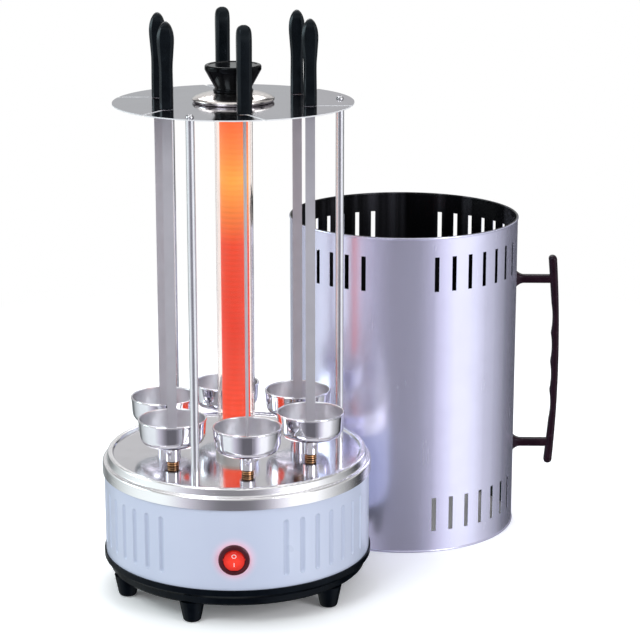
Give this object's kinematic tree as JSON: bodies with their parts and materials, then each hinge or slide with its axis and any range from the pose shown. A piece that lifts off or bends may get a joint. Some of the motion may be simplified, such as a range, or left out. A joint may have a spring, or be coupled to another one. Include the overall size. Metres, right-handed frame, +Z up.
{
  "type": "electric skewer grill",
  "caption": "Vertical electric grill: geared base turns upright skewers in drip cups round a glass-tube heater, with a slotted top disc on posts and a loose round casing with a handle.",
  "frame": {"origin": "on the floor, under the middle of the bounding box of base and casing", "axes": "+Z up, -Y towards the front with the switch, +X to the right, towards the casing"},
  "size_m": [0.4096, 0.3864, 0.489],
  "materials": {
    "black_plastic": "satin black moulded plastic",
    "screw_steel": "plain bright steel",
    "painted_shell": "smooth pale blue-white paint",
    "tray_steel": "polished stainless steel",
    "post_steel": "polished steel rod",
    "disc_steel": "satin-polished stainless steel",
    "collar_chrome": "polished chrome",
    "knob_black": "gloss black heat-proof plastic",
    "ceramic": "white glazed ceramic",
    "heater_glass": "clear heat-proof glass",
    "glowing_wire": "resistance wire, glowing orange",
    "gear_plastic": "white gear plastic",
    "motor_steel": "zinc-plated motor can",
    "bronze": "sintered bronze",
    "switch_black": "black moulded plastic",
    "switch_red": "lit translucent red plastic",
    "terminal_plastic": "white terminal plastic",
    "cup_steel": "polished stainless steel",
    "skewer_steel": "stainless steel strip",
    "handle_black": "satin black plastic grip",
    "casing_steel": "polished stainless sheet",
    "handle_brown": "dark brown heat-proof plastic"
  },
  "bodies": {
    "base": {"feet": "black_plastic", "bottom_cover": "black_plastic", "bottom_screws": "screw_steel", "base_shell": "painted_shell", "drip_tray": "tray_steel", "support_posts": "post_steel", "standoffs": "screw_steel", "top_disc": "disc_steel", "post_screws": "screw_steel", "centre_collar": "collar_chrome", "heater_base": "ceramic", "heater_glass": "heater_glass", "heater_core": "ceramic", "heater_coil": "glowing_wire", "heater_top_holder": "ceramic", "mechanism_plate": "screw_steel", "spindle": "screw_steel", "geared_motor": "motor_steel", "bushes": "bronze", "switch_housing": "switch_black", "mains_gland": "black_plastic", "terminal_block": "terminal_plastic"},
    "sun_gear_body": {"sun_gear": "gear_plastic"},
    "motor_pinion_body": {"motor_pinion": "gear_plastic"},
    "switch_rocker_body": {"switch_rocker": "switch_red"},
    "knob_stud_body": {"knob_stud": "screw_steel"},
    "knob_body": {"top_knob": "knob_black"},
    "casing": {"casing_shell": "casing_steel", "casing_handle": "handle_brown", "casing_screws": "screw_steel"},
    "station_1": {"drive_gear_1": "gear_plastic", "drive_shaft_1": "screw_steel"},
    "cup_body_1": {"cup_1": "cup_steel"},
    "skewer_1": {"skewer_blade_1": "skewer_steel", "skewer_handle_1": "handle_black"},
    "station_2": {"drive_gear_2": "gear_plastic", "drive_shaft_2": "screw_steel"},
    "cup_body_2": {"cup_2": "cup_steel"},
    "skewer_2": {"skewer_blade_2": "skewer_steel", "skewer_handle_2": "handle_black"},
    "station_3": {"drive_gear_3": "gear_plastic", "drive_shaft_3": "screw_steel"},
    "cup_body_3": {"cup_3": "cup_steel"},
    "skewer_3": {"skewer_blade_3": "skewer_steel", "skewer_handle_3": "handle_black"},
    "station_4": {"drive_gear_4": "gear_plastic", "drive_shaft_4": "screw_steel"},
    "cup_body_4": {"cup_4": "cup_steel"},
    "skewer_4": {"skewer_blade_4": "skewer_steel", "skewer_handle_4": "handle_black"},
    "station_5": {"drive_gear_5": "gear_plastic", "drive_shaft_5": "screw_steel"},
    "cup_body_5": {"cup_5": "cup_steel"},
    "skewer_5": {"skewer_blade_5": "skewer_steel", "skewer_handle_5": "handle_black"},
    "station_6": {"drive_gear_6": "gear_plastic", "drive_shaft_6": "screw_steel"},
    "cup_body_6": {"cup_6": "cup_steel"},
    "skewer_6": {"skewer_blade_6": "skewer_steel", "skewer_handle_6": "handle_black"}
  },
  "joints": [
    {"name": "sun_spin", "type": "hinge", "parent": "base", "child": "sun_gear_body", "pos_m": [-0.0898, -0.07546, 0.085], "axis": [0, 0, 1], "continuous": true},
    {"name": "motor_spin", "type": "hinge", "parent": "base", "child": "motor_pinion_body", "pos_m": [-0.0544, -0.11917, 0.082], "axis": [0, 0, 1], "continuous": true},
    {"name": "switch_rock", "type": "hinge", "parent": "base", "child": "switch_rocker_body", "pos_m": [-0.0898, -0.18836, 0.0604], "axis": [-1, 0, 0], "range_deg": [0, 16]},
    {"name": "knob_rise", "type": "slide", "parent": "base", "child": "knob_stud_body", "axis": [0, 0, 1], "range_m": [0, 0.005]},
    {"name": "knob_turn", "type": "hinge", "parent": "knob_stud_body", "child": "knob_body", "pos_m": [-0.0898, -0.07546, 0.43], "axis": [0, 0, 1], "range_deg": [0, 1800]},
    {"name": "casing_lift", "type": "slide", "parent": "base", "child": "casing", "axis": [0, 0, 1], "range_m": [0, 0.35]},
    {"name": "station_1_spin", "type": "hinge", "parent": "base", "child": "station_1", "pos_m": [-0.07924, -0.14213, 0.1], "axis": [0, 0, 1], "continuous": true},
    {"name": "cup_1_lift", "type": "slide", "parent": "station_1", "child": "cup_body_1", "axis": [0, 0, 1], "range_m": [0, 0.02]},
    {"name": "skewer_1_lift", "type": "slide", "parent": "cup_body_1", "child": "skewer_1", "axis": [0, 0, 1], "range_m": [0, 0.3]},
    {"name": "station_2_spin", "type": "hinge", "parent": "base", "child": "station_2", "pos_m": [-0.02678, -0.09965, 0.1], "axis": [0, 0, 1], "continuous": true},
    {"name": "cup_2_lift", "type": "slide", "parent": "station_2", "child": "cup_body_2", "axis": [0, 0, 1], "range_m": [0, 0.02]},
    {"name": "skewer_2_lift", "type": "slide", "parent": "cup_body_2", "child": "skewer_2", "axis": [0, 0, 1], "range_m": [0, 0.3]},
    {"name": "station_3_spin", "type": "hinge", "parent": "base", "child": "station_3", "pos_m": [-0.03734, -0.03298, 0.1], "axis": [0, 0, 1], "continuous": true},
    {"name": "cup_3_lift", "type": "slide", "parent": "station_3", "child": "cup_body_3", "axis": [0, 0, 1], "range_m": [0, 0.02]},
    {"name": "skewer_3_lift", "type": "slide", "parent": "cup_body_3", "child": "skewer_3", "axis": [0, 0, 1], "range_m": [0, 0.3]},
    {"name": "station_4_spin", "type": "hinge", "parent": "base", "child": "station_4", "pos_m": [-0.10036, -0.00879, 0.1], "axis": [0, 0, 1], "continuous": true},
    {"name": "cup_4_lift", "type": "slide", "parent": "station_4", "child": "cup_body_4", "axis": [0, 0, 1], "range_m": [0, 0.02]},
    {"name": "skewer_4_lift", "type": "slide", "parent": "cup_body_4", "child": "skewer_4", "axis": [0, 0, 1], "range_m": [0, 0.3]},
    {"name": "station_5_spin", "type": "hinge", "parent": "base", "child": "station_5", "pos_m": [-0.15281, -0.05127, 0.1], "axis": [0, 0, 1], "continuous": true},
    {"name": "cup_5_lift", "type": "slide", "parent": "station_5", "child": "cup_body_5", "axis": [0, 0, 1], "range_m": [0, 0.02]},
    {"name": "skewer_5_lift", "type": "slide", "parent": "cup_body_5", "child": "skewer_5", "axis": [0, 0, 1], "range_m": [0, 0.3]},
    {"name": "station_6_spin", "type": "hinge", "parent": "base", "child": "station_6", "pos_m": [-0.14225, -0.11793, 0.1], "axis": [0, 0, 1], "continuous": true},
    {"name": "cup_6_lift", "type": "slide", "parent": "station_6", "child": "cup_body_6", "axis": [0, 0, 1], "range_m": [0, 0.02]},
    {"name": "skewer_6_lift", "type": "slide", "parent": "cup_body_6", "child": "skewer_6", "axis": [0, 0, 1], "range_m": [0, 0.3]}
  ],
  "couplings": [
    {"joint": "motor_spin", "follows": "sun_spin", "ratio": -4},
    {"joint": "knob_turn", "follows": "knob_rise", "rad_per_m": 6283.2},
    {"joint": "station_1_spin", "follows": "sun_spin", "ratio": -2},
    {"joint": "station_2_spin", "follows": "sun_spin", "ratio": -2},
    {"joint": "station_3_spin", "follows": "sun_spin", "ratio": -2},
    {"joint": "station_4_spin", "follows": "sun_spin", "ratio": -2},
    {"joint": "station_5_spin", "follows": "sun_spin", "ratio": -2},
    {"joint": "station_6_spin", "follows": "sun_spin", "ratio": -2}
  ]
}
